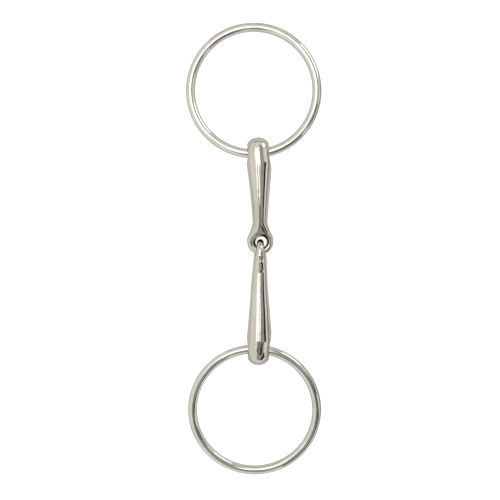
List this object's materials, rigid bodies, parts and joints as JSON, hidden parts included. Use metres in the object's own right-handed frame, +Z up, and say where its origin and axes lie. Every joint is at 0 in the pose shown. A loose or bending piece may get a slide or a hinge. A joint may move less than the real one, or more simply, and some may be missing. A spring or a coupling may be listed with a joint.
{
  "type": "snaffle bit",
  "caption": "Loose-ring snaffle bit: a jointed metal mouthpiece of tapered halves linked by eyes, with a round wire ring through each end.",
  "frame": {"origin": "middle of the underside of the bounding box, on the table the bit lies on", "axes": "+Y along the mouthpiece towards the upper ring, +X to the right seen from above, +Z up off the table"},
  "size_m": [0.0876, 0.2938, 0.017],
  "materials": {
    "cast_steel": "polished cast stainless steel, lightly scratched",
    "wire_steel": "polished stainless steel wire"
  },
  "bodies": {
    "cannon_upper": {"cannon_upper": "cast_steel"},
    "cannon_lower": {"cannon_lower": "cast_steel"},
    "ring_upper": {"ring_upper": "wire_steel"},
    "ring_lower": {"ring_lower": "wire_steel"}
  },
  "joints": [
    {"name": "centre_fold", "type": "hinge", "parent": "cannon_upper", "child": "cannon_lower", "pos_m": [0.0041, 0.00006, 0.0085], "axis": [0.9997, 0.0239, 0], "range_deg": [-75, 75]},
    {"name": "ring_upper_swing", "type": "hinge", "parent": "cannon_upper", "child": "ring_upper", "pos_m": [0.00259, 0.06352, 0.0085], "axis": [-0.9997, -0.0239, 0], "range_deg": [-135, 135]},
    {"name": "ring_lower_swing", "type": "hinge", "parent": "cannon_lower", "child": "ring_lower", "pos_m": [0.00282, -0.06346, 0.0085], "axis": [1, -0.0052, 0], "range_deg": [-120, 120]}
  ]
}
